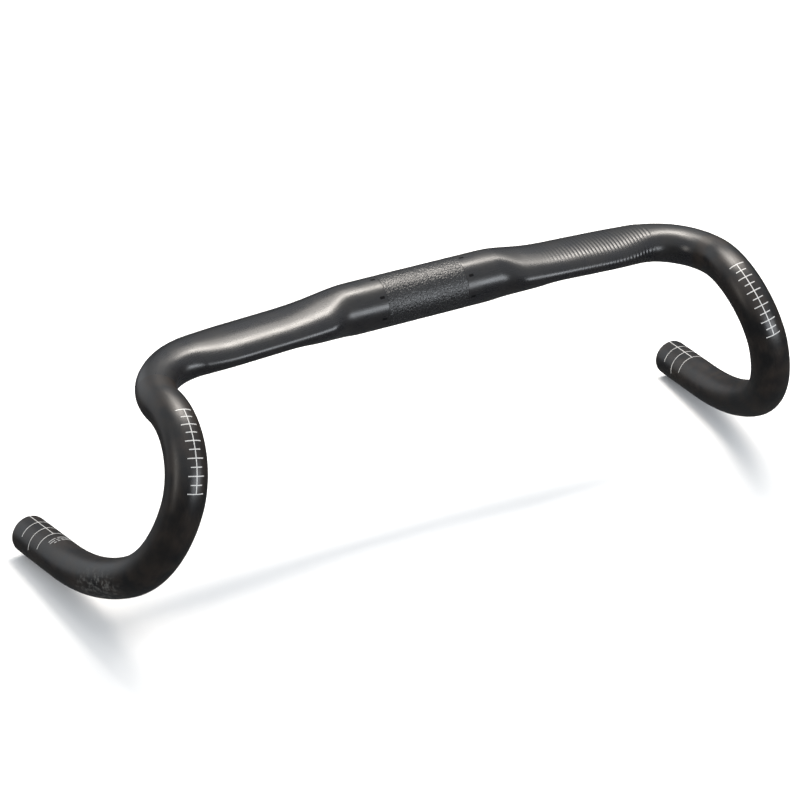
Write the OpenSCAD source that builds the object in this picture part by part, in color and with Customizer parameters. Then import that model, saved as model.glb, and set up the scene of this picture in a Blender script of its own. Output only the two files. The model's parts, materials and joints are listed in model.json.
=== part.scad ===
// Drop handlebar of moulded carbon: a round clamp tube, two flattened tops and two hooks.
// Origin at the middle of the stem clamp, +X to the rider's right, +Y forward, +Z up.
// The right half is drawn and the left half is its mirror image, with moulded ribs on its top.

/* [Clamp tube] */
// Diameter that the stem clamps
clamp_d = 31.8; // [31.7:0.05:31.9]
// How far the tube beside the grip band lies below it
clamp_relief = 0.05; // [0.02:0.01:0.1]
// Half length of the clamp tube, where the tops are bonded on
clamp_half = 35; // [32:1:40]
// Wall of the clamp tube
clamp_wall = 2.7; // [2:0.1:3.5]
// Length of the rough grip band
band_len = 53.5; // [45:0.5:60]
// Depth of the recess that the grip band fills
band_depth = 0.2; // [0.1:0.05:0.3]

/* [Tops] */
// Distance from the middle to the bend where the top starts to droop
elbow_x = 48.2; // [44:0.1:55]
// Bend radius of that elbow
elbow_r = 80; // [40:5:120]
// Droop of the top below level, degrees
top_droop = 1.85; // [0:0.05:4]
// Forward sweep of the top, degrees
top_sweep = 1.3; // [0:0.1:3]
// Length of the straight top
top_len = 96; // [80:1:110]
// Depth of the flattened top, front to back
wing_depth = 36.4; // [32:0.2:40]
// Thickness of the flattened top
wing_thick = 18.8; // [17:0.2:22]
// Nose-down tilt of the flattened section, degrees
wing_tilt = 3.1; // [0:0.1:6]
// How far the top's middle moves forward of the clamp tube's
nose_shift = 2.8; // [0:0.1:5]
// How far the top's middle rises
top_lift = 1.7; // [0:0.1:3]
// Wall of the tops
top_wall = 2; // [1.6:0.1:2.6]

/* [Moulded ribs, left top] */
// First rib, measured along the bar from the middle
rib_start = 75.5; // [70:0.5:90]
// Rib pitch
rib_pitch = 2.5; // [2:0.1:4]
// Number of ribs
rib_count = 33; // [10:1:36]
// Rib height
rib_height = 0.2; // [0.1:0.05:0.5]

/* [Corners] */
// Bend radius from the top into the hook
corner_r = 40; // [36:1:50]
// Where the round bore starts, degrees round the corner
round_at = 51; // [50:1:56]
// Where the hook is bonded on, degrees round the corner
joint_at = 70; // [66:1:74]

/* [Hooks] */
// Outside diameter of the round tube
drop_d = 24; // [23.8:0.1:24.2]
// Wall of the hook
drop_wall = 2; // [1.6:0.1:2.4]
// Outward flare of the hook's plane, degrees
flare = 16; // [8:0.5:24]
// Inward turn of the hook's plane, degrees
toe_in = 3.3; // [0:0.1:6]
// Upper bend radius, where the lever clamps
reach_r = 41; // [38:1:48]
// Upper bend, degrees
reach_a = 95.7; // [90:0.1:100]
// Middle bend radius
hook_r = 83; // [70:1:95]
// Middle bend, degrees
hook_a = 49.4; // [44:0.1:54]
// Lower bend radius
tail_r = 172; // [150:1:200]
// Lower bend, degrees
tail_a = 27; // [22:0.1:30]
// Straight end of the bar
end_len = 46; // [40:1:60]

/* [Bonded joints] */
// Sleeve wall
sleeve_wall = 1.6; // [1.2:0.1:2]
// Glue film thickness
glue = 0.15; // [0.1:0.05:0.2]
// How far a sleeve reaches into the clamp tube
clamp_lap = 12; // [8:1:13]
// How far a corner sleeve reaches past its joint, degrees
corner_lap = 14; // [10:1:15]

/* [Reinforcement] */
// Half length of the clamp doubler
doubler_half = 20; // [14:1:22]
// Wall of the clamp doubler
doubler_wall = 1; // [0.6:0.1:1.5]
// Lever doubler, start round the upper bend, degrees
lever_from = 18; // [10:1:22]
// Lever doubler, end round the upper bend, degrees
lever_to = 84; // [80:1:90]
// Wall of the lever doubler
lever_wall = 0.8; // [0.5:0.1:1.2]
// Length of the bar-end ring
end_ring_len = 25; // [15:1:30]
// Wall of the bar-end ring
end_ring_wall = 0.5; // [0.4:0.1:0.9]

/* [Printed scales] */
// Ink thickness
ink = 0.06; // [0.04:0.01:0.1]
// Line width
line_w = 0.8; // [0.6:0.1:1.2]
// First tick of the lever scale, along the outer face from the corner
tick_start = 21.3; // [18:0.1:24]
// Tick spacing
tick_pitch = 5; // [4:0.5:6]
// Number of ticks
tick_count = 11; // [5:1:11]
// Half spread of a long tick round the tube, degrees
long_tick = 24; // [15:1:30]
// Half spread of a short tick round the tube, degrees
short_tick = 17; // [10:1:20]
// Turn of the lever scale from the hook's plane towards the outside, degrees
scale_turn = 4.3; // [0:0.1:10]
// First ring of the trim scale, from the bar's end
ring_start = 12; // [8:1:15]
// Ring spacing
ring_pitch = 10.2; // [8:0.1:11]
// Turn of the trim scale's line towards the outside, degrees
trim_turn = 6.3; // [0:0.1:10]

/* [Hidden] */
$fn = 96;
// sides of a lofted ring
RING = 32;
// half spreads of the three trim rings round the tube, degrees
RING_SPREADS = [66, 89, 69];
// where along the bar the depth and the thickness of the top blend in, and where they round off
DEPTH_BLEND = [51, 80];
// the front of the top takes its shape sooner, most of all at this turn up from the front
NOSE_BLEND = [50, 68];
nose_turn = 30;
THICK_BLEND = [42, 94];
ROUND_BLEND = [-22, 35];
// dashes of the note beside the trim scale: distance from the bar's end, turn round it, half spread
NOTE_DASHES = [
    [38.8, -27, 12], [38.8, 8, 18],
    [40.9, -31, 9], [40.9, -13, 5], [40.9, 12, 16],
    [43, -26, 4], [43, -14, 4], [43, 12, 18]
];
// turns round the clamp tube of the dashes beside the grip band, degrees up from the front
CLAMP_DASHES = [93, 41, -8];
// half length and height of the collar over a seam between two stretches of a tube
seam_half = 0.1;
seam_proud = 0.01;
// gap between the lever scale's line and a tick, degrees round the bend
tick_gap_a = 0.02;
// gap between the trim scale's line and a ring
mark_gap = 0.02;
// size of a dash beside the grip band, and its distance from the band
dash_w = 1.6;
dash_len = 3;
dash_gap = 1.75;

clamp_r = clamp_d / 2;
tube_r = clamp_r - clamp_relief;
bore_r = clamp_r - clamp_wall;
loft_x = THICK_BLEND[0];
drop_r = drop_d / 2;
drop_bore = drop_r - drop_wall;
band_half = band_len / 2;
sleeve_r = bore_r - glue;
corner_sleeve_r = drop_bore - glue;
line_half = line_w / 2;
hook_bends = [[reach_r, reach_a], [hook_r, hook_a], [tail_r, tail_a]];

function unit(v) = v / norm(v);
function smooth(u) = let (c = min(max(u, 0), 1)) c * c * (3 - 2 * c);
function blend(s, span) = smooth((s - span[0]) / (span[1] - span[0]));
function mix(a, b, t) = a + (b - a) * t;
function turned(v, axis, a) = v * cos(a) + cross(axis, v) * sin(a) + axis * (axis * v) * (1 - cos(a));

// a leg is [place, direction]; a bend carries it round an axis at a radius
function bent(leg, axis, r, a) =
    let (centre = leg[0] + cross(axis, leg[1]) * r)
    [centre + turned(leg[0] - centre, axis, a), turned(leg[1], axis, a)];
function ahead(leg, d) = [leg[0] + leg[1] * d, leg[1]];

// directions of the right-hand top and hook
top_dir = [cos(top_sweep) * cos(top_droop), sin(top_sweep) * cos(top_droop), -sin(top_droop)];
hook_dir = [-sin(toe_in), cos(toe_in), 0];
down_dir = [sin(flare) * cos(toe_in), sin(flare) * sin(toe_in), -cos(flare)];
hook_axis = cross(hook_dir, down_dir);
elbow_axis = unit(cross([1, 0, 0], top_dir));
elbow_a = acos(top_dir[0]);
elbow_len = elbow_r * elbow_a * PI / 180;
corner_axis = unit(cross(top_dir, hook_dir));
corner_a = acos(top_dir * hook_dir);
elbow_leg = [[elbow_x, 0, 0], [1, 0, 0]];
top_leg = bent(elbow_leg, elbow_axis, elbow_r, elbow_a);
corner_leg = ahead(top_leg, top_len);
corner_s = elbow_x + elbow_len + top_len;
round_s = corner_s + corner_r * round_at * PI / 180;

// centre line of the right half at a distance s from the middle: a place and a direction
function leg_at(s) =
    s < elbow_x ? [[s, 0, 0], [1, 0, 0]]
    : s < elbow_x + elbow_len ? bent(elbow_leg, elbow_axis, elbow_r, (s - elbow_x) / elbow_r * 180 / PI)
    : s < corner_s ? ahead(top_leg, s - elbow_x - elbow_len)
    : bent(corner_leg, corner_axis, corner_r, (s - corner_s) / corner_r * 180 / PI);

// shift of the whole bar beyond the blends
full_shift = [0, nose_shift, top_lift];
// how near the axis the middle of a lofted ring's side comes, as a share of its radius
ring_flat = cos(180 / RING);
// where the clamp sleeve ends, short of the loft's seam
sleeve_end = loft_x - 0.5;
corner_place = corner_leg[0] + full_shift;
hook_place = bent(corner_leg, corner_axis, corner_r, corner_a)[0] + full_shift;

// how far round a turn the top takes its shape sooner, and how far the section has become the top's
function early(turn) = blend(cos(turn - nose_turn), [0, 1]);
function deep_at(s, turn) = mix(blend(s, DEPTH_BLEND), blend(s, NOSE_BLEND), early(turn));
function flat_at(s, turn) = mix(blend(s, THICK_BLEND), blend(s, NOSE_BLEND), early(turn) / 2);

// half width or half height of the section at s, when a share of the top's full size is reached
function half_size(s, full, share) =
    mix(mix(tube_r, full / 2, share), drop_r, blend(s - corner_s, ROUND_BLEND));
function wall_at(s) = mix(mix(clamp_wall - clamp_relief, top_wall, blend(s, THICK_BLEND)), drop_wall,
    blend(s - corner_s, ROUND_BLEND));

// one ring of the loft; inset draws the bore and proud draws a rib
function ring(s, inset, proud = 0) =
    let (leg = leg_at(s), t = leg[1], up = unit([0, 0, 1] - t * t[2]), fwd = cross(up, t))
    let (a_dir = fwd * cos(wing_tilt) - up * sin(wing_tilt))
    let (b_dir = fwd * sin(wing_tilt) + up * cos(wing_tilt))
    [for (i = [0:RING - 1])
        let (turn = 360 * i / RING, deep = deep_at(s, turn), flat = flat_at(s, turn))
        leg[0] + [0, nose_shift * deep, top_lift * flat]
            + a_dir * ((half_size(s, wing_depth, deep) - inset + proud) * cos(turn))
            + b_dir * ((half_size(s, wing_thick, flat) - inset + proud) * sin(turn))];

// skin between rings, outward for flip 0 and inward for flip 1; cap joins two rings
function skin(first, count, flip) =
    [for (k = [0:count - 2], i = [0:RING - 1], half = [0, 1])
        let (j = (i + 1) % RING, p = first + k * RING, q = p + RING)
        let (f = half == 0 ? [p + i, q + i, q + j] : [p + i, q + j, p + j])
        flip == 1 ? [f[2], f[1], f[0]] : f];
function cap(outer, inner, flip) =
    [for (i = [0:RING - 1], half = [0, 1])
        let (j = (i + 1) % RING)
        let (f = half == 0 ? [outer + i, outer + j, inner + j] : [outer + i, inner + j, inner + i])
        flip == 1 ? [f[2], f[1], f[0]] : f];

// hollow loft through the outer and inner rings
module loft(outer, inner) {
    last_outer = (len(outer) - 1) * RING;
    first_inner = len(outer) * RING;
    last_inner = first_inner + (len(inner) - 1) * RING;
    polyhedron(
        points = [for (r = concat(outer, inner)) each r],
        faces = concat(skin(0, len(outer), 0), skin(first_inner, len(inner), 1),
            cap(0, first_inner, 0), cap(last_outer, last_inner, 1)));
}

// places children at a point, with x along one direction and z along a bend's axis
module at(place, x_dir, z_dir) {
    y_dir = cross(z_dir, x_dir);
    multmatrix([
        [x_dir[0], y_dir[0], z_dir[0], place[0]],
        [x_dir[1], y_dir[1], z_dir[1], place[1]],
        [x_dir[2], y_dir[2], z_dir[2], place[2]],
        [0, 0, 0, 1]])
        children();
}

module at_corner() at(corner_place, top_dir, corner_axis) children();
module at_hook() at(hook_place, hook_dir, hook_axis) children();

// flat ring, and the part of a thin ring within a spread either side of a turn
module annulus(outer, inner) {
    difference() {
        circle(r = outer);
        circle(r = inner);
    }
}
module ring_slice(inner, thick, middle, spread) {
    reach = 2 * (inner + thick);
    intersection() {
        annulus(inner + thick, inner);
        rotate(middle)
            polygon([[0, 0], for (k = [-1:0.5:1]) reach * [cos(k * spread), sin(k * spread)]]);
    }
}

// straight pipe along X from one place to another
module pipe_x(from, to, outer, inner) {
    translate([from, 0, 0])
        rotate([0, 90, 0])
            linear_extrude(to - from)
                annulus(outer, inner);
}

// sweeps a flat section round a bend that starts at the origin, heading +X and turning to +Y
module bend(r, from, to) {
    translate([0, r, 0])
        rotate([0, 0, from - 90])
            rotate_extrude(angle = to - from)
                translate([r, 0])
                    children();
}
module bent_pipe(r, from, to, outer, inner) {
    bend(r, from, to)
        annulus(outer, inner);
}

// thin collar over the seam between two stretches of a tube, at the origin and across the X axis
module seam(outer, inner) pipe_x(-seam_half, seam_half, outer + seam_proud, inner - seam_proud);
module after_bend(r, a) {
    translate([0, r, 0])
        rotate([0, 0, a])
            translate([0, -r, 0])
                children();
}

// at the start of the straight end, with +X towards the bar's end
module at_tail() {
    at_hook()
        after_bend(reach_r, reach_a)
            after_bend(hook_r, hook_a)
                after_bend(tail_r, tail_a)
                    children();
}
module left() mirror([1, 0, 0]) children();

// stations of the plain skin and of the ribbed skin
function steps(from, to, count) = [for (i = [0:count]) mix(from, to, i / count)];
plain_stations = concat(steps(loft_x, 70, 10), steps(75, 98, 4), [120, 138], steps(corner_s, round_s, 9));
bore_stations = concat(steps(loft_x, 70, 7), [78, 94, corner_s - 22], steps(corner_s, round_s, 6));
rib_end = rib_start + (rib_count - 1) * rib_pitch;
before_ribs = steps(loft_x, rib_start - rib_pitch / 2, 11);
after_ribs = steps(rib_end + rib_pitch / 2, round_s, 7);
rib_rings = [for (n = [0:rib_count - 1])
    let (s = rib_start + n * rib_pitch)
    each (n == 0 ? [[s, rib_height]] : [[s - rib_pitch / 2, 0], [s, rib_height]])];

module top(outer_rings) {
    loft(outer_rings, [for (s = bore_stations) ring(s, wall_at(s))]);
    pipe_x(clamp_half, loft_x, tube_r, bore_r);
    translate([loft_x, 0, 0])
        seam(tube_r, bore_r * ring_flat);
    at_corner() {
        bent_pipe(corner_r, round_at, joint_at, drop_r, drop_bore);
        after_bend(corner_r, round_at)
            seam(drop_r, drop_bore * ring_flat);
    }
}

module hook() {
    at_corner()
        bent_pipe(corner_r, joint_at, corner_a, drop_r, drop_bore);
    at_hook()
        hook_run(0);
}
module hook_run(i) {
    seam(drop_r, drop_bore);
    if (i < len(hook_bends)) {
        r = hook_bends[i][0];
        a = hook_bends[i][1];
        bent_pipe(r, 0, a, drop_r, drop_bore);
        after_bend(r, a)
            hook_run(i + 1);
    }
    else
        pipe_x(0, end_len, drop_r, drop_bore);
}

// ticks on the front of the upper bend, joined by a line that stops just short of each
module lever_scale() {
    outer_r = reach_r + drop_r;
    tick_a = tick_pitch / outer_r * 180 / PI;
    first_a = tick_start / outer_r * 180 / PI;
    half_a = line_half / outer_r * 180 / PI;
    at_hook() {
        for (n = [0:tick_count - 1])
            bend(reach_r, first_a + n * tick_a - half_a, first_a + n * tick_a + half_a)
                ring_slice(drop_r, ink, -scale_turn, n % 2 == 0 ? long_tick : short_tick);
        for (n = [0:tick_count - 2])
            bend(reach_r, first_a + n * tick_a + half_a + tick_gap_a,
                first_a + (n + 1) * tick_a - half_a - tick_gap_a)
                ring_slice(drop_r, ink, -scale_turn, asin(line_half / drop_r));
    }
}

// part of a thin ring round the straight end, between two distances from the bar's end
module end_mark(from, to, middle, spread) {
    at_tail()
        translate([end_len - to, 0, 0])
            rotate([90, 0, 90])
                linear_extrude(to - from)
                    ring_slice(drop_r, ink, middle, spread);
}
// the trim scale: three rings, and a line from the bar's end that stops just short of each of them
module trim_scale() {
    for (n = [0:2]) {
        place = ring_start + n * ring_pitch;
        begin = n == 0 ? 0 : place - ring_pitch + line_half + mark_gap;
        end_mark(place - line_half, place + line_half, -trim_turn, RING_SPREADS[n]);
        end_mark(begin, place - line_half - mark_gap, -trim_turn, asin(line_half / drop_r));
    }
}

module clamp_tube() {
    color([0.10, 0.10, 0.11])
        difference() {
            pipe_x(-clamp_half, clamp_half, tube_r, bore_r);
            pipe_x(-band_half, band_half, clamp_r + 1, clamp_r - band_depth);
        }
}
module clamp_grip_band() {
    color([0.24, 0.24, 0.26])
        pipe_x(-band_half, band_half, clamp_r, clamp_r - band_depth);
}
module clamp_doubler() {
    color([0.16, 0.16, 0.17])
        pipe_x(-doubler_half, doubler_half, bore_r, bore_r - doubler_wall);
}
module top_right() {
    color([0.13, 0.13, 0.14])
        top([for (s = plain_stations) ring(s, 0)]);
}
module top_left() {
    color([0.13, 0.13, 0.14])
        left()
            top(concat([for (s = before_ribs) ring(s, 0)], [for (r = rib_rings) ring(r[0], 0, r[1])],
                [for (s = after_ribs) ring(s, 0)]));
}
module clamp_sleeve_right() {
    color([0.20, 0.20, 0.21])
        pipe_x(clamp_half - clamp_lap, sleeve_end, sleeve_r, sleeve_r - sleeve_wall);
}
module clamp_sleeve_left() left() clamp_sleeve_right();
module clamp_glue_right() {
    color([0.75, 0.66, 0.42])
        pipe_x(clamp_half - clamp_lap, sleeve_end, bore_r, sleeve_r);
}
module clamp_glue_left() left() clamp_glue_right();
module drop_right() {
    color([0.08, 0.08, 0.09])
        hook();
}
module drop_left() left() drop_right();
module corner_sleeve_right() {
    color([0.20, 0.20, 0.21])
        at_corner()
            bent_pipe(corner_r, joint_at - corner_lap, joint_at + corner_lap,
                corner_sleeve_r, corner_sleeve_r - sleeve_wall);
}
module corner_sleeve_left() left() corner_sleeve_right();
module corner_glue_right() {
    color([0.75, 0.66, 0.42])
        at_corner()
            bent_pipe(corner_r, joint_at - corner_lap, joint_at + corner_lap,
                drop_bore, corner_sleeve_r);
}
module corner_glue_left() left() corner_glue_right();
module lever_doubler_right() {
    color([0.16, 0.16, 0.17])
        at_hook()
            bent_pipe(reach_r, lever_from, lever_to, drop_bore, drop_bore - lever_wall);
}
module lever_doubler_left() left() lever_doubler_right();
module end_ring_right() {
    color([0.16, 0.16, 0.17])
        at_tail()
            pipe_x(end_len - end_ring_len, end_len, drop_bore, drop_bore - end_ring_wall);
}
module end_ring_left() left() end_ring_right();
module lever_scale_right() {
    color("white")
        lever_scale();
}
module lever_scale_left() left() lever_scale_right();
module trim_scale_right() {
    color("white")
        trim_scale();
}
module trim_scale_left() left() trim_scale_right();
module trim_note_right() {
    color("gray")
        for (d = NOTE_DASHES)
            end_mark(d[0] - line_half, d[0] + line_half, d[1], d[2]);
}
module clamp_marks_right() {
    color([0.03, 0.03, 0.03])
        for (turn = CLAMP_DASHES)
            translate([band_half + dash_gap, 0, 0])
                rotate([90, 0, 90])
                    linear_extrude(dash_len)
                        ring_slice(tube_r, clamp_relief / 2, turn, dash_w / tube_r * 90 / PI);
}
module clamp_marks_left() left() clamp_marks_right();

clamp_tube();
clamp_grip_band();
clamp_doubler();
top_right();
top_left();
clamp_sleeve_right();
clamp_sleeve_left();
clamp_glue_right();
clamp_glue_left();
drop_right();
drop_left();
corner_sleeve_right();
corner_sleeve_left();
corner_glue_right();
corner_glue_left();
lever_doubler_right();
lever_doubler_left();
end_ring_right();
end_ring_left();
lever_scale_right();
lever_scale_left();
trim_scale_right();
trim_scale_left();
trim_note_right();
clamp_marks_right();
clamp_marks_left();
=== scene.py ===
"""Drop handlebar in moulded carbon: smooth skins, ribs, printed scales and finishes over the CAD model."""

import json
import logging
import math
from dataclasses import dataclass, field
from enum import Enum
from typing import Any, Callable, Iterable

import bpy
import numpy as np
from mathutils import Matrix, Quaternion, Vector, noise


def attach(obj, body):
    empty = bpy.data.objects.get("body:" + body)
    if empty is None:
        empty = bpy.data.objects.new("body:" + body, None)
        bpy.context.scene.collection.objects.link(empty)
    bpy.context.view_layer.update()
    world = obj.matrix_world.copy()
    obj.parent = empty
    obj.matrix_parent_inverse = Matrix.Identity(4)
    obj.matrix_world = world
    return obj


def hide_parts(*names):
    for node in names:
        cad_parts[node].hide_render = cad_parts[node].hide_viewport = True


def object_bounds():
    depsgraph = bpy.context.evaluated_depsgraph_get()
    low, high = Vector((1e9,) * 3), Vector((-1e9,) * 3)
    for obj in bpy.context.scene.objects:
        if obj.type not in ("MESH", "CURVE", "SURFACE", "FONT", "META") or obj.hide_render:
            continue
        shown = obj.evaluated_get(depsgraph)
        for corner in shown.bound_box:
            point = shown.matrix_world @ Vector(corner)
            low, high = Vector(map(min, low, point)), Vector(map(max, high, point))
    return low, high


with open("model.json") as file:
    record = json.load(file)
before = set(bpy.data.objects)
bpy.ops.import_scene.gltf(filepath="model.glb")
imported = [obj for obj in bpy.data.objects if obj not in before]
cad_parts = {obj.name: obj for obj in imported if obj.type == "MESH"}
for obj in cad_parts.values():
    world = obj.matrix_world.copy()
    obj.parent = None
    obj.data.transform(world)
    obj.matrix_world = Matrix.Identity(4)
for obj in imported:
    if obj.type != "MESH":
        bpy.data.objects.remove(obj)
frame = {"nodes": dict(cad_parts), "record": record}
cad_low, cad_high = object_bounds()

MM = 0.001
ROOT = "root"
Colour = tuple[float, float, float]
log = logging.getLogger("handlebar")


def mount(name: str) -> dict[str, Any]:
    """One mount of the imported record.

    Args:
        name: The mount's name.

    Returns:
        The mount's entry, with its place, axis and dimensions.
    """
    return next(m for m in frame["record"]["mounts"] if m["name"] == name)


def smooth(u: float) -> float:
    """An ease from 0 to 1 that is level at both ends."""
    c = min(max(u, 0.0), 1.0)
    return c * c * (3 - 2 * c)


def blend(s: float, span: tuple[float, float]) -> float:
    """How far s has eased through a span, from 0 to 1."""
    return smooth((s - span[0]) / (span[1] - span[0]))


def mix(a: Any, b: Any, t: Any) -> Any:
    """The value, or array of values, a share t of the way from a to b."""
    return a + (b - a) * t


class Side(Enum):
    """The rider's two sides; the value is the sign of X."""

    RIGHT = 1
    LEFT = -1

    @property
    def word(self) -> str:
        """The side as it stands in the names of nodes."""
        return self.name.lower()


# ---------------------------------------------------------------- finishes


class Value:
    """A number on a shader socket, so that a finish is written as ordinary arithmetic."""

    def __init__(self, board: "Board", socket: bpy.types.NodeSocket) -> None:
        """Wraps one output socket of a node on a board."""
        self.board = board
        self.socket = socket

    def _maths(self, operation: str, a: Any, b: Any) -> "Value":
        """Adds one Math node.

        Args:
            operation: The node's operation.
            a: First value or number.
            b: Second value or number.

        Returns:
            The node's result.
        """
        made = self.board.node("ShaderNodeMath", {"operation": operation}, {0: a, 1: b})
        return Value(self.board, made.outputs[0])

    def __add__(self, other: Any) -> "Value":
        """Sum."""
        return self._maths("ADD", self, other)

    def __radd__(self, other: Any) -> "Value":
        """Sum with a number on the left."""
        return self._maths("ADD", other, self)

    def __sub__(self, other: Any) -> "Value":
        """Difference."""
        return self._maths("SUBTRACT", self, other)

    def __rsub__(self, other: Any) -> "Value":
        """Difference with a number on the left."""
        return self._maths("SUBTRACT", other, self)

    def __mul__(self, other: Any) -> "Value":
        """Product."""
        return self._maths("MULTIPLY", self, other)

    def __rmul__(self, other: Any) -> "Value":
        """Product with a number on the left."""
        return self._maths("MULTIPLY", other, self)

    def step(self, low: float, high: float) -> "Value":
        """Eases from 0 to 1 as the value goes from low to high."""
        settings = {"interpolation_type": "SMOOTHSTEP"}
        ranges = {"Value": self, "From Min": low, "From Max": high, "To Min": 0.0, "To Max": 1.0}
        made = self.board.node("ShaderNodeMapRange", settings, ranges)
        return Value(self.board, made.outputs["Result"])


class Board:
    """The node tree of one material or world, with one method that adds any node."""

    def __init__(self, owner: bpy.types.Material | bpy.types.World) -> None:
        """Starts from the owner's first shader.

        Args:
            owner: A new material or world.
        """
        owner.use_nodes = True
        self.material = owner
        self.tree = owner.node_tree
        self.shader = next(n for n in self.tree.nodes if n.type in ("BSDF_PRINCIPLED", "BACKGROUND"))

    @classmethod
    def named(cls, name: str) -> "Board":
        """A board for a new material."""
        return cls(bpy.data.materials.new(name))

    def node(self, kind: str, settings: dict[str, Any], sockets: dict[Any, Any]) -> bpy.types.Node:
        """Adds a node.

        Args:
            kind: Blender's type name.
            settings: Properties of the node, set before its sockets.
            sockets: Input by name or index, to a number, a vector, a Value or an output socket.

        Returns:
            The new node.
        """
        made = self.tree.nodes.new(kind)
        for key, setting in settings.items():
            setattr(made, key, setting)
        for key, given in sockets.items():
            self.feed(made.inputs[key], given)
        return made

    def feed(self, socket: bpy.types.NodeSocket, given: Any) -> None:
        """Links or sets one input socket.

        Args:
            socket: The input.
            given: A Value, an output socket, a number or a vector.
        """
        if isinstance(given, Value):
            given = given.socket
        if isinstance(given, bpy.types.NodeSocket):
            self.tree.links.new(given, socket)
        else:
            socket.default_value = given

    def value(self, made: bpy.types.Node, output: Any = 0) -> Value:
        """The number on one output of a node."""
        return Value(self, made.outputs[output])

    def lay(self, stretch: Colour = (1.0, 1.0, 1.0)) -> bpy.types.NodeSocket:
        """Coordinates of the bar as if pulled straight: X along it, Y and Z across it, in millimetres.

        Args:
            stretch: Scale on each axis.

        Returns:
            A vector output.
        """
        made = self.node("ShaderNodeAttribute", {"attribute_name": LAY}, {})
        scale = tuple(v / MM for v in stretch)
        return self.scaled(made.outputs["Vector"], scale)

    def place(self, stretch: Colour = (1.0, 1.0, 1.0)) -> bpy.types.NodeSocket:
        """Coordinates of the model itself in millimetres, scaled on each axis."""
        made = self.node("ShaderNodeTexCoord", {}, {})
        return self.scaled(made.outputs["Object"], tuple(v / MM for v in stretch))

    def scaled(self, vector: bpy.types.NodeSocket, scale: Iterable[float]) -> bpy.types.NodeSocket:
        """A vector times a scale on each axis."""
        made = self.node("ShaderNodeVectorMath", {"operation": "MULTIPLY"}, {0: vector, 1: tuple(scale)})
        return made.outputs[0]

    def noise(self, vector: bpy.types.NodeSocket, scale: float, detail: float = 2.0,
              rough: float = 0.5) -> Value:
        """Fractal noise from 0 to 1.

        Args:
            vector: Coordinates.
            scale: Features per unit of the coordinates.
            detail: Octaves.
            rough: Share of the finer octaves.

        Returns:
            The noise.
        """
        sockets = {"Vector": vector, "Scale": scale, "Detail": detail, "Roughness": rough}
        return self.value(self.node("ShaderNodeTexNoise", {}, sockets))

    def cells(self, vector: bpy.types.NodeSocket, scale: float) -> Value:
        """Distance to the nearest of scattered points, from 0 at a point."""
        sockets = {"Vector": vector, "Scale": scale}
        return self.value(self.node("ShaderNodeTexVoronoi", {"feature": "F1"}, sockets), "Distance")

    def tint(self, share: Value, low: Colour, high: Colour) -> bpy.types.NodeSocket:
        """Mixes two colours.

        Args:
            share: 0 for low and 1 for high.
            low: First colour, linear.
            high: Second colour, linear.

        Returns:
            A colour output.
        """
        made = self.node("ShaderNodeMix", {"data_type": "RGBA"}, {})
        self.feed(made.inputs[0], share)
        self.feed(made.inputs[6], low if isinstance(low, bpy.types.NodeSocket) else (*low, 1.0))
        self.feed(made.inputs[7], high if isinstance(high, bpy.types.NodeSocket) else (*high, 1.0))
        return made.outputs[2]

    def bump(self, height: Value, depth: float) -> None:
        """Raises the surface by a height in millimetres times depth."""
        made = self.node("ShaderNodeBump", {}, {"Strength": 1.0, "Distance": depth * MM, "Height": height})
        self.feed(self.shader.inputs["Normal"], made.outputs[0])

    def set(self, **sockets: Any) -> None:
        """Sets or links inputs of the shader, with underscores for spaces in their names."""
        for name, given in sockets.items():
            socket = self.shader.inputs[name.replace("_", " ")]
            if isinstance(given, tuple) and len(given) == 3:
                given = (*given, 1.0)
            self.feed(socket, given)


@dataclass(frozen=True)
class Laminate:
    """Satin clear coat over unidirectional carbon fibre, with warm and cool patches under the coat."""

    name: str
    warm: Colour
    cool: Colour
    roughness: float
    patch_mm: float = 16.0
    streak_mm: float = 0.5
    streak_stretch: float = 0.05
    grain: float = 0.002
    coat: float = 0.0
    coat_roughness: float = 0.3
    bloom: tuple[float, float, float] | None = None
    bloom_reach: float = 32.0

    def material(self) -> bpy.types.Material:
        """Builds the finish.

        Returns:
            The material.
        """
        board = Board.named(self.name)
        straight = board.lay()
        along = board.lay((self.streak_stretch, 1.0, 1.0))
        patches = board.noise(straight, 1 / self.patch_mm, 3.0).step(0.32, 0.68)
        streaks = board.noise(along, 1 / self.streak_mm, 3.0, 0.6).step(0.25, 0.75)
        base = board.tint(patches, self.cool, self.warm)
        dark = tuple(0.72 * v for v in self.cool)
        colour = board.tint(0.55 + 0.45 * streaks, dark, base)
        rough = self.roughness + 0.05 * (streaks - 0.5) + 0.05 * (patches - 0.5)
        if self.bloom:
            cloud = self.clouds(board, straight)
            colour = board.tint(cloud * 0.8, colour, (0.085, 0.085, 0.082))
            rough = rough + cloud * 0.08
        board.set(Base_Color=colour, Roughness=rough, Coat_Weight=self.coat)
        board.set(Coat_Roughness=self.coat_roughness, IOR=1.5)
        ripple = board.noise(straight, 1 / 6.0, 2.0)
        pores = board.noise(straight, 1 / 0.35, 2.0)
        board.bump(streaks * self.grain + ripple * 0.02 + pores * 0.002, 1.0)
        return board.material

    def clouds(self, board: Board, straight: bpy.types.NodeSocket) -> Value:
        """Faint resin clouds near one place on the bar.

        Args:
            board: The node tree.
            straight: Coordinates of the bar as if straight.

        Returns:
            0 where the surface is clear and up to 1 in a cloud.
        """
        offset = {0: straight, 1: self.bloom}
        away = board.node("ShaderNodeVectorMath", {"operation": "SUBTRACT"}, offset)
        gap = board.scaled(away.outputs[0], (1.0, 2.2, 2.2))
        length = board.node("ShaderNodeVectorMath", {"operation": "LENGTH"}, {0: gap})
        near = 1 - board.value(length, "Value").step(0.35 * self.bloom_reach, self.bloom_reach)
        return near * board.noise(straight, 1 / 2.2, 4.0, 0.62).step(0.49, 0.6)


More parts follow.
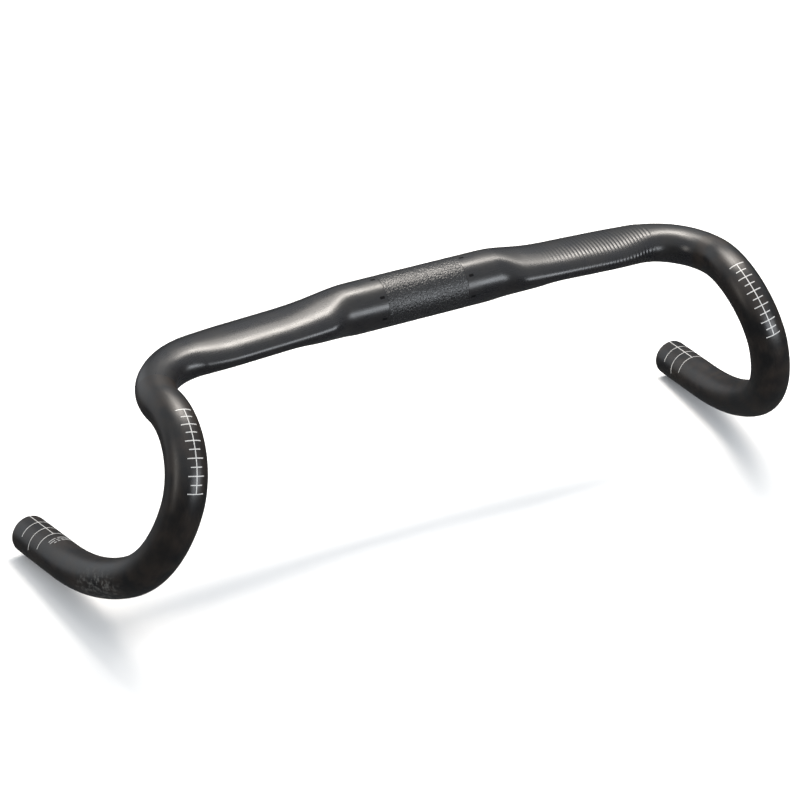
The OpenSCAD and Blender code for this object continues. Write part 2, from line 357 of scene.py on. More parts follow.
@dataclass(frozen=True)
class RoughBand:
    """Grip texture moulded into the clamp zone, with a painted highlight: lighter colour on the raised grain
    tops.
    """

    name: str
    low: Colour
    high: Colour
    roughness: float
    grit_mm: float = 0.45

    def material(self) -> bpy.types.Material:
        """Builds the finish.

        Returns:
            The material.
        """
        board = Board.named(self.name)
        straight = board.lay()
        grit = board.cells(straight, 1 / self.grit_mm).step(0.1, 0.7)
        dust = board.noise(straight, 1 / 1.4, 3.0)
        # painted highlight: the raised grain tops, near the cell points, get the lighter colour
        board.set(Base_Color=board.tint(grit * 0.6 + dust * 0.4, self.high, self.low))
        board.set(Roughness=self.roughness + 0.12 * (dust - 0.5), IOR=1.5)
        board.bump((1 - grit) * 0.05 + dust * 0.03, 1.0)
        return board.material


@dataclass(frozen=True)
class Ink:
    """Printed ink, slightly thin and uneven, on a clear coat."""

    name: str
    colour: Colour
    roughness: float = 0.42
    sheen: float = 0.5

    def material(self) -> bpy.types.Material:
        """Builds the finish.

        Returns:
            The material.
        """
        board = Board.named(self.name)
        straight = board.lay()
        spread = board.noise(straight, 1 / 0.5, 3.0)
        thin = tuple(0.8 * v for v in self.colour)
        board.set(Base_Color=board.tint(spread.step(0.3, 0.7), thin, self.colour))
        board.set(Roughness=self.roughness + 0.1 * (spread - 0.5), Specular_IOR_Level=self.sheen)
        board.bump(spread * 0.008, 1.0)
        return board.material


@dataclass(frozen=True)
class BagSide:
    """Inner face of the laminate, wrinkled by the bladder that pressed it."""

    name: str
    dark: Colour
    light: Colour
    wrinkle_mm: float = 5.0

    def material(self) -> bpy.types.Material:
        """Builds the finish.

        Returns:
            The material.
        """
        board = Board.named(self.name)
        spot = board.place()
        wrinkle = board.noise(spot, 1 / self.wrinkle_mm, 3.0, 0.6)
        weave = board.noise(board.place((0.3, 1.0, 1.0)), 1 / 0.6, 2.0)
        board.set(Base_Color=board.tint(wrinkle * 0.6 + weave * 0.4, self.dark, self.light))
        board.set(Roughness=0.5 + 0.2 * (weave - 0.5), IOR=1.5)
        board.bump(wrinkle * 0.35 + weave * 0.03, 1.0)
        return board.material


@dataclass(frozen=True)
class GlueFilm:
    """Cured epoxy between two laminate pieces, with small voids."""

    name: str
    colour: Colour
    deep: Colour

    def material(self) -> bpy.types.Material:
        """Builds the finish.

        Returns:
            The material.
        """
        board = Board.named(self.name)
        spot = board.place()
        flow = board.noise(spot, 1 / 3.0, 3.0)
        voids = board.cells(spot, 1 / 1.2).step(0.05, 0.2)
        board.set(Base_Color=board.tint(flow * voids, self.deep, self.colour))
        board.set(Roughness=0.3 + 0.2 * (flow - 0.5), IOR=1.55)
        board.bump(voids * 0.05 + flow * 0.05, 1.0)
        return board.material


@dataclass(frozen=True)
class FloorPaint:
    """Matt pale floor with a barely visible roller texture."""

    name: str
    colour: Colour

    def material(self) -> bpy.types.Material:
        """Builds the finish.

        Returns:
            The material.
        """
        board = Board.named(self.name)
        nap = board.noise(board.place(), 1 / 4.0, 3.0)
        shade = tuple(0.985 * v for v in self.colour)
        board.set(Base_Color=board.tint(nap, shade, self.colour), Roughness=0.8)
        board.set(Specular_IOR_Level=0.2)
        return board.material


# ---------------------------------------------------------------- shape of the bar

LAY = "lay"


@dataclass(frozen=True)
class Stretch:
    """One straight or evenly bent length of the centre line, with the directions at its start."""

    start: Vector
    heading: Vector
    forward: Vector
    length: float
    axis: Vector | None = None
    radius: float = 0.0

    def at(self, along: float) -> tuple[Vector, Vector, Vector]:
        """Place, heading and forward direction at a distance from the start.

        Args:
            along: Distance in metres.

        Returns:
            The three vectors.
        """
        if self.axis is None:
            return self.start + self.heading * along, self.heading, self.forward
        turn = Quaternion(self.axis, along / self.radius)
        arm = self.axis.cross(self.heading) * self.radius
        place = self.start + arm - turn @ arm
        return place, turn @ self.heading, turn @ self.forward


@dataclass
class BarShape:
    """Dimensions of the right half in metres and degrees, and its centre line and sections."""

    clamp_r: float = field(default_factory=lambda: mount("stem_clamp")["dims"]["r_mm"] * MM)
    band_len: float = 53.5 * MM
    bore_r: float = field(default_factory=lambda: mount("bar_end_bore_right")["dims"]["r_mm"] * MM)
    relief: float = 0.05 * MM
    clamp_half: float = 35 * MM
    elbow_x: float = 48.2 * MM
    elbow_r: float = 80 * MM
    droop: float = 1.85
    sweep: float = 1.3
    top_len: float = 96 * MM
    depth: float = 36.4 * MM
    thick: float = 18.8 * MM
    tilt: float = 3.1
    nose_shift: float = 2.8 * MM
    lift: float = 1.7 * MM
    corner_r: float = 40 * MM
    joint_at: float = 70.0
    drop_r: float = 12 * MM
    wall: float = 2 * MM
    flare: float = 16.0
    toe_in: float = 3.3
    bends: tuple[tuple[float, float], ...] = ((41 * MM, 95.7), (83 * MM, 49.4), (172 * MM, 27.0))
    end_len: float = 46 * MM
    depth_span: tuple[float, float] = (51 * MM, 80 * MM)
    nose_span: tuple[float, float] = (50 * MM, 68 * MM)
    nose_turn: float = 30.0
    thick_span: tuple[float, float] = (42 * MM, 94 * MM)
    round_span: tuple[float, float] = (-22 * MM, 35 * MM)

    def __post_init__(self) -> None:
        """Lays the centre line out from the middle to the bar's end."""
        droop, sweep = math.radians(self.droop), math.radians(self.sweep)
        toe, flare = math.radians(self.toe_in), math.radians(self.flare)
        middle = Vector((1, 0, 0))
        top = Vector((math.cos(sweep) * math.cos(droop), math.sin(sweep) * math.cos(droop), -math.sin(droop)))
        hook = Vector((-math.sin(toe), math.cos(toe), 0))
        down = Vector((math.sin(flare) * math.cos(toe), math.sin(flare) * math.sin(toe), -math.cos(flare)))
        self.stretches = [Stretch(Vector(), middle, Vector((0, 1, 0)), self.elbow_x)]
        self._turn_to(top, self.elbow_r)
        self._straight(self.top_len)
        self.corner_s = self.length
        self._turn_to(hook, self.corner_r)
        self.hook_s = self.length
        self.hook_axis = hook.cross(down)
        for radius, angle in self.bends:
            self._bend(self.hook_axis, radius, math.radians(angle))
        self.tail_s = self.length
        self._straight(self.end_len)
        self.joint_s = self.corner_s + self.corner_r * math.radians(self.joint_at)
        up = hook.cross(self.forward_at(self.hook_s))
        self.outer_turn = math.atan2(-down.dot(up), -down.dot(self.forward_at(self.hook_s)))

    @property
    def length(self) -> float:
        """Length of the centre line so far."""
        return sum(part.length for part in self.stretches)

    def _end(self) -> tuple[Vector, Vector, Vector]:
        """Place, heading and forward direction at the end so far."""
        last = self.stretches[-1]
        return last.at(last.length)

    def _straight(self, length: float) -> None:
        """Adds a straight length."""
        self.stretches.append(Stretch(*self._end(), length))

    def _bend(self, axis: Vector, radius: float, angle: float) -> None:
        """Adds a bend of an angle in radians round an axis."""
        self.stretches.append(Stretch(*self._end(), radius * angle, axis, radius))

    def _turn_to(self, heading: Vector, radius: float) -> None:
        """Adds the bend that turns to a heading."""
        now = self._end()[1]
        self._bend(now.cross(heading).normalized(), radius, now.angle(heading))

    def leg_at(self, s: float) -> tuple[Vector, Vector, Vector]:
        """Place, heading and forward direction at s, without the top's shift and lift."""
        for part in self.stretches[:-1]:
            if s <= part.length:
                return part.at(s)
            s -= part.length
        return self.stretches[-1].at(s)

    def forward_at(self, s: float) -> Vector:
        """The forward direction carried along to s."""
        return self.leg_at(s)[2]

    def spot(self, s: float, degrees: float) -> Colour:
        """Straightened coordinates, in millimetres, of a place on a hook.

        Args:
            s: Distance along the bar from the middle.
            degrees: Turn round the section from the outside of the bend.

        Returns:
            The three coordinates.
        """
        turn = self.outer_turn + math.radians(degrees)
        return s / MM, self.drop_r / MM * math.cos(turn), self.drop_r / MM * math.sin(turn)

    def half_size(self, s: float, full: float, share: np.ndarray) -> np.ndarray:
        """Half the section's size at s: round at the clamp, flat on the top and round in the hook.

        Args:
            s: Distance along the bar.
            full: The flattened top's size.
            share: How far the clamp has turned into the top, for each turn round the section.

        Returns:
            Half sizes for each turn.
        """
        flat = mix(self.clamp_r - self.relief, full / 2, share)
        return mix(flat, self.drop_r, blend(s - self.corner_s, self.round_span))

    def ring(self, s: float, proud: "np.ndarray | float", turns: np.ndarray) -> tuple[np.ndarray, np.ndarray]:
        """One ring of the skin at s.

        Args:
            s: Distance along the bar from the middle.
            proud: Height above the outer face, one number or one for each turn.
            turns: Angles round the section from forward to up, in radians.

        Returns:
            The ring's points, and the same points of the bar as if it were straight.
        """
        place, heading, forward = self.leg_at(s)
        up = heading.cross(forward)
        tilt = math.radians(self.tilt)
        a_dir = forward * math.cos(tilt) - up * math.sin(tilt)
        b_dir = forward * math.sin(tilt) + up * math.cos(tilt)
        share = np.clip(np.cos(turns - math.radians(self.nose_turn)), 0.0, 1.0)
        share = share * share * (3 - 2 * share)
        nose = blend(s, self.nose_span)
        deep = mix(blend(s, self.depth_span), nose, share)
        flat = mix(blend(s, self.thick_span), nose, 0.5 * share)
        a, b = self.half_size(s, self.depth, deep), self.half_size(s, self.thick, flat)
        cos, sin = np.cos(turns), np.sin(turns)
        across = (a + proud) * cos
        rise = (b + proud) * sin
        centre = np.array(place) + np.outer(deep, (0, self.nose_shift, 0)) + np.outer(flat, (0, 0, self.lift))
        points = centre + np.outer(across, np.array(a_dir)) + np.outer(rise, np.array(b_dir))
        straight = np.stack([np.full(len(turns), s), across, rise], axis=1)
        return points, straight


SHAPE = BarShape()


@dataclass
class SkinMesh:
    """A grid of rings turned into one mesh, mirrored for the left half."""

    side: Side
    rings: list[np.ndarray] = field(default_factory=list)
    straight: list[np.ndarray] = field(default_factory=list)

    def add(self, ring: tuple[np.ndarray, np.ndarray]) -> None:
        """Adds the next ring."""
        self.rings.append(ring[0])
        self.straight.append(ring[1])

    def tube(self, name: str) -> bpy.types.Object:
        """A closed hollow body whose rings run out along the outer face and back along the bore.

        Args:
            name: Name of the piece.

        Returns:
            The object.
        """
        rows, around = len(self.rings), len(self.rings[0])
        k, i = np.meshgrid(np.arange(rows), np.arange(around), indexing="ij")
        k2, i2 = (k + 1) % rows, (i + 1) % around
        faces = np.stack([k * around + i, k * around + i2, k2 * around + i2, k2 * around + i], axis=-1)
        return self._object(name, faces.reshape(-1, 4))

    def _object(self, name: str, faces: np.ndarray) -> bpy.types.Object:
        """Makes the object.

        Args:
            name: Name of the piece.
            faces: Corners of each face.

        Returns:
            The object, smooth shaded, with its straightened coordinates stored.
        """
        points = np.concatenate(self.rings)
        straight = np.concatenate(self.straight)
        if self.side is Side.LEFT:
            points = points * np.array([-1.0, 1.0, 1.0])
            straight = straight * np.array([-1.0, 1.0, 1.0])
            faces = faces[:, ::-1]
        mesh = bpy.data.meshes.new(name)
        mesh.from_pydata(points.tolist(), [], faces.tolist())
        mesh.polygons.foreach_set("use_smooth", [True] * len(faces))
        store = mesh.attributes.new(LAY, "FLOAT_VECTOR", "POINT")
        store.data.foreach_set("vector", straight.astype(np.float32).ravel())
        mesh.update()
        mesh.set_sharp_from_angle(angle=math.radians(50))
        made = bpy.data.objects.new(name, mesh)
        bpy.context.scene.collection.objects.link(made)
        return made


def finish_piece(piece: bpy.types.Object, finish: Any,
                 replaces: Iterable[str]) -> bpy.types.Object:
    """Gives a piece its finish, its body and the CAD nodes that it stands for.

    Args:
        piece: The object.
        finish: A finish with a material method.
        replaces: Names of CAD nodes.

    Returns:
        The object.
    """
    piece.data.materials.append(finish.material())
    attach(piece, ROOT)
    if replaces:
        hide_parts(*replaces)
    log.info("%s: %d faces", piece.name, len(piece.data.polygons))
    return piece


def turns_round(count: int) -> np.ndarray:
    """Evenly spaced angles round a section."""
    return np.arange(count) * (2 * math.pi / count)


# ---------------------------------------------------------------- sub-assemblies


@dataclass
class TubeSkin:
    """A hollow tube of the bar between two places, with rounded lips at its free ends."""

    side: Side
    start: float
    end: float
    around: int = 144
    step: float = 1.5 * MM
    wall: float = SHAPE.wall
    lip: float = 0.4 * MM
    lip_steps: int = 5
    rounded_start: bool = False
    rounded_end: bool = False
    relief: Callable[[float, np.ndarray], "np.ndarray | float"] | None = None

    def build(self, name: str) -> bpy.types.Object:
        """Builds the tube.

        Args:
            name: Name of the piece.

        Returns:
            The object.
        """
        turns = turns_round(self.around)
        skin = SkinMesh(self.side)
        for s in self._stations(self.step):
            proud = self.relief(s, turns) if self.relief else 0.0
            skin.add(SHAPE.ring(s, proud, turns))
        if self.rounded_end:
            self._lip(skin, turns, self.end, -1)
        for s in reversed(self._stations(4 * self.step)):
            skin.add(SHAPE.ring(s, -self.wall, turns))
        if self.rounded_start:
            self._lip(skin, turns, self.start, 1)
        return skin.tube(name)

    def _stations(self, step: float) -> list[float]:
        """Places along the tube, short of a lip."""
        low = self.start + (self.lip if self.rounded_start else 0.0)
        high = self.end - (self.lip if self.rounded_end else 0.0)
        count = max(2, round((high - low) / step))
        return [mix(low, high, n / count) for n in range(count + 1)]

    def _lip(self, skin: SkinMesh, turns: np.ndarray, end: float, inward: int) -> None:
        """Rounds both edges of one end.

        Args:
            skin: The mesh being built.
            turns: Angles round the section.
            end: Place of the end face.
            inward: Sign of the direction from the end into the tube.
        """
        outer = [math.radians(90 * n / self.lip_steps) for n in range(1, self.lip_steps + 1)]
        edges = [(self.lip * (1 - math.sin(a)), self.lip * (1 - math.cos(a))) for a in outer]
        back = [(gap, self.wall - inset) for gap, inset in reversed(edges)]
        order = edges + back if inward < 0 else [(g, self.wall - i) for g, i in edges] + [
            (g, self.wall - i) for g, i in back]
        for gap, inset in order:
            skin.add(SHAPE.ring(end + inward * gap, -inset, turns))


@dataclass
class ClampZone:
    """The round middle of the bar: tube, moulded grip band and the dashes beside it."""

    around: int = 400
    band_step: float = 0.26 * MM
    band_depth: float = 0.2 * MM
    grain_mm: float = 0.55
    grain_long: float = 1.05
    grain_height: float = 0.17 * MM
    dash_turns: tuple[float, ...] = (93.0, 41.0, -8.0)
    dash_from: float = 28.5 * MM
    dash_long: float = 3 * MM
    dash_wide: float = 1.6 * MM

    def build(self) -> None:
        """Builds and dresses every piece of the clamp zone."""
        self.tube()
        self.band()
        for side in Side:
            self.dashes(side)

    def tube(self) -> None:
        """The satin tube, sunk under the grip band."""
        half = SHAPE.band_len / 2
        turns = turns_round(192)
        skin = SkinMesh(Side.RIGHT)
        wall = 2.7 * MM - SHAPE.relief
        sunk = -self.band_depth + SHAPE.relief
        out = [(-SHAPE.clamp_half, 0.0), (-half - 1.2 * MM, 0.0), (-half - 0.35 * MM, 0.0),
               (-half - 0.15 * MM, -0.02 * MM), (-half - 0.05 * MM, -0.1 * MM), (-half, sunk)]
        outline = out + [(-x, y) for x, y in reversed(out)]
        for x, height in outline:
            skin.add(self._round(x, height, turns))
        for x in (SHAPE.clamp_half, -SHAPE.clamp_half):
            skin.add(self._round(x, -wall, turns))
        finish_piece(skin.tube("clamp_tube_skin"), FINISHES["clamp"], ["clamp_tube"])

    def _round(self, x: float, height: "np.ndarray | float",
               turns: np.ndarray) -> tuple[np.ndarray, np.ndarray]:
        """A ring of the clamp tube at x, on either side of the middle."""
        radius = SHAPE.clamp_r - SHAPE.relief + height
        y, z = radius * np.cos(turns), radius * np.sin(turns)
        ring = np.stack([np.full(len(turns), x), y, z], axis=1)
        return ring, ring.copy()

    def band(self) -> None:
        """The grip band: rows of small slanting grains pressed into its face."""
        half = SHAPE.band_len / 2
        turns = turns_round(self.around)
        skin = SkinMesh(Side.RIGHT)
        count = round(SHAPE.band_len / self.band_step)
        top = SHAPE.relief
        for n in range(count + 1):
            x = mix(-half, half, n / count)
            edge = min(half - abs(x), 0.6 * MM) / (0.6 * MM)
            height = top - self._grain(x, turns) * smooth(edge) - 0.06 * MM * (1 - edge)
            skin.add(self._round(x, height, turns))
        for x in (half, -half):
            skin.add(self._round(x, -self.band_depth + SHAPE.relief, turns))
        piece = skin.tube("clamp_grip_skin")
        finish_piece(piece, FINISHES["band"], ["clamp_grip_band"])

    def _grain(self, x: float, turns: np.ndarray) -> np.ndarray:
        """Depth of the pressed grain round the band at x.

        Args:
            x: Place along the clamp tube.
            turns: Angles round it.

        Returns:
            Depths in metres.
        """
        whole = 2 * math.pi * SHAPE.clamp_r / MM
        depths = []
        for turn in turns:
            from_back = (turn + math.pi) % (2 * math.pi)
            v = from_back * SHAPE.clamp_r / MM
            wrap = smooth(from_back / 0.3)
            depth = self._pressed(x / MM, v)
            if wrap < 1:
                depth = mix(self._pressed(x / MM, v + whole), depth, wrap)
            depths.append(depth)
        return self.grain_height * np.clip(np.array(depths), 0.0, 1.0)

    def _pressed(self, u: float, v: float) -> float:
        """Share of the full depth at a place on the unrolled band, in millimetres."""
        long = (0.5 * v - 0.87 * u) / self.grain_long
        short = (0.87 * v + 0.5 * u) / self.grain_mm
        coarse = noise.noise(Vector((long, short, 3.7)))
        fine = noise.noise(Vector((2.3 * long, 2.1 * short, 9.1)))
        return 0.5 + 1.1 * coarse + 0.45 * fine

    def dashes(self, side: Side) -> None:
        """Three black alignment dashes beside the band.

        Args:
            side: Which end of the band.
        """
        marks = [Mark(self.dash_from, self.dash_from + self.dash_long,
                      math.radians(turn) - self.dash_wide / 2 / SHAPE.clamp_r,
                      math.radians(turn) + self.dash_wide / 2 / SHAPE.clamp_r) for turn in self.dash_turns]
        print_marks(f"clamp_dashes_{side.word}", side, marks, FINISHES["black"],
                    [f"clamp_marks_{side.word}"], 0.02 * MM)


@dataclass(frozen=True)
class Mark:
    """A printed patch on the bar: from and to along it, and from and to round its section in radians."""

    start: float
    end: float
    low: float
    high: float


def print_marks(name: str, side: Side, marks: list[Mark], finish: Any, replaces: list[str],
                lift: float = 0.05 * MM) -> None:
    """Prints patches of ink that follow the bar's face.

    Args:
        name: Name of the piece.
        side: Which half of the bar.
        marks: The patches.
        finish: The ink.
        replaces: CAD nodes that the print stands for.
        lift: Height of the ink above the face.
    """
    parts = []
    for mark in marks:
        rows = max(2, round((mark.end - mark.start) / (0.5 * MM)) + 1)
        columns = max(3, round((mark.high - mark.low) / 0.05) + 1)
        turns = np.linspace(mark.low, mark.high, columns)
        sheet = SkinMesh(side)
        level = [lift] * columns
        closed = np.concatenate([turns, turns[::-1]])
        height = np.array(level + [-0.03 * MM] * columns)
        for s in np.linspace(mark.start, mark.end, rows):
            sheet.add(SHAPE.ring(float(s), height, closed))
        parts.append(sheet)
    piece = join_patches(name, side, parts)
    finish_piece(piece, finish, replaces)


def join_patches(name: str, side: Side, parts: list[SkinMesh]) -> bpy.types.Object:
    """Joins thin patches into one object, with their four edges and two ends closed.

    Args:
        name: Name of the piece.
        side: Which half of the bar.
        parts: Patches, each with rings that go over the face and back under it.

    Returns:
        The object.
    """
    whole = SkinMesh(side)
    faces: list[tuple[int, ...]] = []
    base = 0
    for part in parts:
        around = len(part.rings[0])
        rows = len(part.rings)
        for k in range(rows - 1):
            for i in range(around):
                j = (i + 1) % around
                low, high = base + k * around, base + (k + 1) * around
                faces.append((low + i, low + j, high + j, high + i))
        for k, flip in ((0, True), (rows - 1, False)):
            for i in range(around // 2 - 1):
                low = base + k * around
                quad = (low + i, low + i + 1, low + around - 2 - i, low + around - 1 - i)
                faces.append(quad[::-1] if flip else quad)
        whole.rings += part.rings
        whole.straight += part.straight
        base += rows * around
    piece = whole._object(name, np.array(faces))
    for face in piece.data.polygons:
        face.use_smooth = False
    return piece


@dataclass
class Top:
    """One flattened top with the first part of its corner; the left one carries moulded ribs."""

    side: Side
    rib_start: float = 75.5 * MM
    rib_pitch: float = 2.5 * MM
    rib_count: int = 33
    rib_height: float = 0.2 * MM
    rib_fade: int = 12
    rib_roundness: float = 0.8
    rib_late: float = 3.0

    def build(self) -> None:
        """Builds and dresses the top."""
        ribbed = self.side is Side.LEFT
        step = self.rib_pitch / 10 if ribbed else 1.0 * MM
        skin = TubeSkin(self.side, SHAPE.clamp_half, SHAPE.joint_s, around=160, step=step,
                        relief=self._ribs if ribbed else None)
        finish = FINISHES["ribbed_top" if ribbed else "top"]
        word = self.side.word
        finish_piece(skin.build(f"top_skin_{word}"), finish, [f"top_{word}"])

    def _ribs(self, s: float, turns: np.ndarray) -> np.ndarray:
        """Height of the moulded ribs at s, which lie square to the clamp's axis.

        Args:
            s: Place along the bar.
            turns: Angles round the section.

        Returns:
            Heights in metres; the first ribs rise slowly, and start later on the nose.
        """
        out = SHAPE.ring(s, 0.0, turns)[0][:, 0]
        place = (out - self.rib_start) / self.rib_pitch
        inside = (place > -0.5) & (place < self.rib_count - 0.5)
        crest = (0.5 + 0.5 * np.cos(2 * math.pi * place)) ** self.rib_roundness
        late = self.rib_late * np.clip(np.cos(turns), 0.0, 1.0)
        rise = np.clip((place + 0.5 - late) / self.rib_fade, 0.0, 1.0)
        return self.rib_height * crest * rise * inside


@dataclass
class Hook:
    """One hook with its reinforced end, lever scale and trim scale."""

    side: Side
    line: float = 0.58 * MM
    tick_start: float = 21.3 * MM
    tick_pitch: float = 5 * MM
    tick_count: int = 11
    long_tick: float = 24.0
    short_tick: float = 17.0
    scale_turn: float = 4.3
    ring_start: float = 12 * MM
    ring_pitch: float = 10.2 * MM
    ring_spreads: tuple[float, ...] = (66.0, 89.0, 69.0)
    trim_turn: float = 6.3
    end_ring: float = 25 * MM
    note: tuple[tuple[float, float, float], ...] = (
        (38.8, -27, 12), (38.8, 8, 18), (40.9, -31, 9), (40.9, -13, 5), (40.9, 12, 16),
        (43.0, -26, 4), (43.0, -14, 4), (43.0, 12, 18))

    def build(self) -> None:
        """Builds and dresses every piece of the hook."""
        word = self.side.word
        skin = TubeSkin(self.side, SHAPE.joint_s, SHAPE.length, rounded_end=True)
        finish = FINISHES["near_hook" if self.side is Side.RIGHT else "hook"]
        finish_piece(skin.build(f"hook_skin_{word}"), finish, [f"drop_{word}"])
        self.liner()
        self.lever_scale()
        self.trim_scale()
        if self.side is Side.RIGHT:
            self.print_note()

    def liner(self) -> None:
        """The reinforcing ring inside the bar's end."""
        turns = turns_round(96)
        outer, inner = -SHAPE.wall, SHAPE.bore_r - SHAPE.drop_r
        start, end = SHAPE.length - self.end_ring, SHAPE.length - 0.15 * MM
        edge = 0.12 * MM
        outline = [(start, outer), (end - edge, outer), (end, outer - edge), (end, inner + edge),
                   (end - edge, inner), (start, inner)]
        skin = SkinMesh(self.side)
        for s, height in outline:
            skin.add(SHAPE.ring(s, height, turns))
        word = self.side.word
        finish_piece(skin.tube(f"end_liner_{word}"), FINISHES["bore"], [f"end_ring_{word}"])

    def _turn(self, degrees: float) -> float:
        """Angle round the section of a direction given from the outside of the bend, in radians."""
        return SHAPE.outer_turn + math.radians(degrees)

    def lever_scale(self) -> None:
        """White line and ticks on the front of the upper bend, spaced along its outer face."""
        bend_r = SHAPE.bends[0][0]
        shrink = bend_r / (bend_r + SHAPE.drop_r)
        middle = self._turn(self.scale_turn)
        half = self.line / 2
        first = SHAPE.hook_s + self.tick_start * shrink
        last = first + (self.tick_count - 1) * self.tick_pitch * shrink
        spread = half / SHAPE.drop_r
        marks = [Mark(first, last, middle - spread, middle + spread)]
        for n in range(self.tick_count):
            s = first + n * self.tick_pitch * shrink
            wide = math.radians(self.long_tick if n % 2 == 0 else self.short_tick)
            marks.append(Mark(s - half * shrink, s + half * shrink, middle - wide, middle + wide))
        word = self.side.word
        print_marks(f"lever_ticks_{word}", self.side, marks, FINISHES["white"],
                    [f"lever_scale_{word}"])

    def _inner(self, degrees: float) -> float:
        """Angle round the section of a direction given from the inside of the bend, in radians."""
        return SHAPE.outer_turn + math.pi + math.radians(degrees)

    def trim_scale(self) -> None:
        """White line and three rings where the bar may be cut shorter."""
        half = self.line / 2
        middle = self._inner(-self.trim_turn)
        end = SHAPE.length - 0.45 * MM
        spread = half / SHAPE.drop_r
        far = SHAPE.length - self.ring_start - 2 * self.ring_pitch
        marks = [Mark(far, end, middle - spread, middle + spread)]
        for n, wide in enumerate(self.ring_spreads):
            s = SHAPE.length - self.ring_start - n * self.ring_pitch
            marks.append(Mark(s - half, s + half, middle - math.radians(wide), middle + math.radians(wide)))
        word = self.side.word
        print_marks(f"trim_rings_{word}", self.side, marks, FINISHES["white"],
                    [f"trim_scale_{word}"])

    def print_note(self) -> None:
        """Rows of plain dashes beside the trim scale."""
        half = 0.4 * MM
        marks = []
        for place, turn, wide in self.note:
            s = SHAPE.length - place * MM
            low, high = self._inner(turn - wide), self._inner(turn + wide)
            marks.append(Mark(s - half, s + half, low, high))
        print_marks("trim_note_dashes", self.side, marks, FINISHES["grey"], ["trim_note_right"])


@dataclass
class InnerPieces:
    """Sleeves, doublers and glue films that stay as the CAD made them."""

    laminate: tuple[str, ...] = ("clamp_sleeve", "corner_sleeve", "lever_doubler")
    glue: tuple[str, ...] = ("clamp_glue", "corner_glue")

    def build(self) -> None:
        """Dresses every inner node."""
        self._dress("clamp_doubler", FINISHES["bore"])
        for side in Side:
            for stem in self.laminate:
                self._dress(f"{stem}_{side.word}", FINISHES["bore"])
            for stem in self.glue:
                self._dress(f"{stem}_{side.word}", FINISHES["glue"])

    def _dress(self, node: str, finish: Any) -> None:
        """Gives a CAD node its finish.

        Args:
            node: The node's name.
            finish: The finish.
        """
        piece = frame["nodes"][node]
        piece.data.materials.clear()
        piece.data.materials.append(finish.material())
        log.info("%s: CAD shape kept", node)


# ---------------------------------------------------------------- studio


@dataclass(frozen=True)
class SoftBox:
    """A rectangular studio light that faces a target."""

    name: str
    place: Colour
    target: Colour
    wide: float
    high: float
    glow: float
    colour: Colour = (1.0, 1.0, 1.0)

    def build(self) -> None:
        """Hangs the light."""
        data = bpy.data.lights.new(self.name, "AREA")
        data.shape = "RECTANGLE"
        data.size, data.size_y = self.wide, self.high
        data.energy = self.glow * math.pi * self.wide * self.high
        data.color = self.colour
        lamp = bpy.data.objects.new(self.name, data)
        lamp.location = self.place
        aim = Vector(self.target) - Vector(self.place)
        lamp.rotation_euler = aim.to_track_quat("-Z", "Y").to_euler()
        bpy.context.scene.collection.objects.link(lamp)


@dataclass
class Studio:
    """Pale floor, pale surroundings, soft boxes and the camera."""

    floor_size: float = 12.0
    sky: Colour = (0.9, 0.95, 1.0)
    sky_strength: float = 0.7
    ground: float = 0.1
    horizon: tuple[float, float] = (0.0, 0.65)
    panel: Colour = (0.51, -0.86, 0.05)
    panel_strength: float = 0.8
    azimuth: float = 28.28
    elevation: float = 30.11
    distance: float = 1.628
    aim: Colour = (0.0243, 0.0236, -0.0557)
    lens: float = 122.6

    def build(self) -> None:
        """Sets the whole studio up."""
        self.floor()
        self.world()
        for box in LIGHTS:
            box.build()
        self.camera()

    def floor(self) -> None:
        """The floor, just under the bar's lowest point."""
        half = self.floor_size / 2
        z = cad_low.z - 0.2 * MM
        corners = [(-half, -half, z), (half, -half, z), (half, half, z), (-half, half, z)]
        mesh = bpy.data.meshes.new("floor")
        mesh.from_pydata(corners, [], [(0, 1, 2, 3)])
        floor = bpy.data.objects.new("floor", mesh)
        floor.data.materials.append(FINISHES["floor"].material())
        floor.visible_glossy = False
        bpy.context.scene.collection.objects.link(floor)

    def world(self) -> None:
        """Even pale light from above that fades to dark below the horizon, brighter behind the bar."""
        world = bpy.data.worlds.new("surroundings")
        board = Board(world)
        heading = board.node("ShaderNodeTexCoord", {}, {}).outputs["Generated"]
        axes = board.node("ShaderNodeSeparateXYZ", {}, {"Vector": heading})
        rise = board.value(axes, "Z")
        toward = board.node("ShaderNodeVectorMath", {"operation": "DOT_PRODUCT"}, {0: heading, 1: self.panel})
        panel = board.value(toward, "Value").step(0.78, 0.95) * rise.step(-0.22, -0.12)
        shade = self.ground + rise.step(*self.horizon) * self.sky_strength + panel * self.panel_strength
        board.set(Color=self.sky, Strength=shade)
        bpy.context.scene.world = world
        bpy.context.scene.view_settings.view_transform = "Standard"

    def camera(self) -> None:
        """The camera, above the bar's front and to the rider's right."""
        azimuth, elevation = math.radians(self.azimuth), math.radians(self.elevation)
        back = Vector((math.sin(azimuth) * math.cos(elevation), math.cos(azimuth) * math.cos(elevation),
                       math.sin(elevation)))
        data = bpy.data.cameras.new("camera")
        data.lens = self.lens
        data.sensor_width = 36.0
        camera = bpy.data.objects.new("camera", data)
        camera.location = Vector(self.aim) + back * self.distance
        camera.rotation_euler = (-back).to_track_quat("-Z", "Y").to_euler()
        bpy.context.scene.collection.objects.link(camera)
        bpy.context.scene.camera = camera


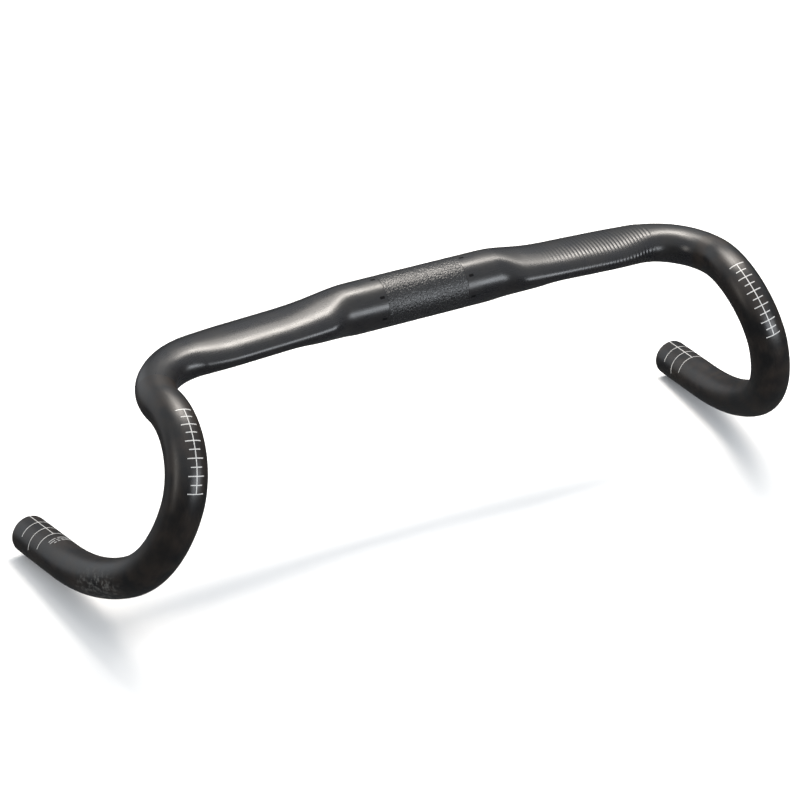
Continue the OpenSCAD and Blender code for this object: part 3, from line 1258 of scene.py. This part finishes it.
FINISHES: dict[str, Any] = {
    "clamp": Laminate("satin_clamp", (0.013, 0.012, 0.0115), (0.009, 0.009, 0.0105), 0.29),
    "top": Laminate("satin_top", (0.013, 0.012, 0.0115), (0.009, 0.009, 0.0105), 0.29),
    "ribbed_top": Laminate("satin_ribbed_top", (0.013, 0.012, 0.0115), (0.009, 0.009, 0.0105), 0.29),
    "hook": Laminate("satin_hook", (0.017, 0.0118, 0.0085), (0.0042, 0.0039, 0.0043), 0.37, 11.0),
    "near_hook": Laminate("satin_near_hook", (0.017, 0.0118, 0.0085), (0.0042, 0.0039, 0.0043), 0.37, 11.0,
                          bloom=SHAPE.spot(0.374, 66.0)),
    "band": RoughBand("grip_band", (0.005, 0.005, 0.0055), (0.022, 0.022, 0.023), 0.27),
    "white": Ink("white_ink", (0.5, 0.495, 0.485)),
    "grey": Ink("grey_ink", (0.34, 0.34, 0.34)),
    "black": Ink("black_ink", (0.002, 0.002, 0.0025), 0.8, 0.12),
    "bore": BagSide("bore_laminate", (0.012, 0.012, 0.012), (0.03, 0.03, 0.032)),
    "glue": GlueFilm("epoxy_film", (0.42, 0.34, 0.14), (0.25, 0.18, 0.06)),
    "floor": FloorPaint("pale_floor", (0.93, 0.93, 0.93)),
}

WARM: Colour = (1.0, 0.945, 0.88)
LIGHTS = (
    SoftBox("overhead_near", (-0.17, -0.15, 0.90), (-0.17, -0.15, 0.0), 0.36, 0.22, 29.0, WARM),
    SoftBox("overhead_middle", (-0.485, -0.15, 0.90), (-0.485, -0.15, 0.0), 0.27, 0.22, 20.0, WARM),
    SoftBox("overhead_far", (-0.785, -0.15, 0.90), (-0.785, -0.15, 0.0), 0.33, 0.22, 7.0, WARM),
    SoftBox("back_near", (-0.17, -0.46, 0.90), (-0.17, -0.46, 0.0), 0.36, 0.40, 6.5, WARM),
    SoftBox("back_far", (-0.65, -0.46, 0.90), (-0.65, -0.46, 0.0), 0.60, 0.40, 2.2, WARM),
    SoftBox("overhead_end", (0.17, -0.15, 0.90), (0.17, -0.15, 0.0), 0.32, 0.30, 5.0, WARM),
    SoftBox("side_near", (1.26, 0.24, 0.30), (0.24, 0.05, -0.08), 0.26, 0.60, 4.6, WARM),
    SoftBox("front_strip", (-0.55, 1.20, 0.06), (0.0, 0.0, 0.0), 1.1, 0.36, 8.5, (0.91, 0.95, 1.0)),
)


def main() -> None:
    """Builds the bar and the studio."""
    logging.basicConfig(level=logging.INFO, format="%(name)s: %(message)s")
    ClampZone().build()
    for side in Side:
        Top(side).build()
        Hook(side).build()
    InnerPieces().build()
    Studio().build()
    log.info("boxes written")


if __name__ == "__main__":
    main()
